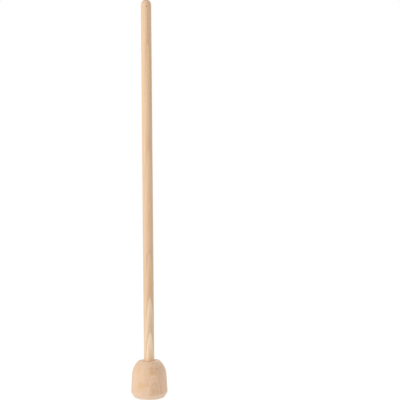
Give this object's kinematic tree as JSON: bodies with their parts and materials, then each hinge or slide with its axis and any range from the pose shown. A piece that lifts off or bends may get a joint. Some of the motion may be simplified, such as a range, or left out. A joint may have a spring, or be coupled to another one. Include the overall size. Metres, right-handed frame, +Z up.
{
  "type": "kraut stomper",
  "caption": "Long round wooden handle with a domed tip, glued into a short turned wooden head with a flat bevelled foot, for pressing shredded cabbage in a crock.",
  "frame": {"origin": "centre of the flat foot that presses the cabbage, where the tool stands", "axes": "+Z up the handle's axis, towards the domed tip; +X and +Y are free, because every piece is turned about Z, and -Y faces the picture's camera"},
  "size_m": [0.087, 0.087, 0.95],
  "materials": {
    "handle_wood": "sanded bare beech rod, pale and straight grained",
    "head_wood": "turned and sanded bare beech, slightly pinker than the handle",
    "glue": "cured wood glue, cream to amber"
  },
  "bodies": {
    "root": {"handle": "handle_wood", "head": "head_wood", "glue_bond": "glue"}
  },
  "joints": []
}
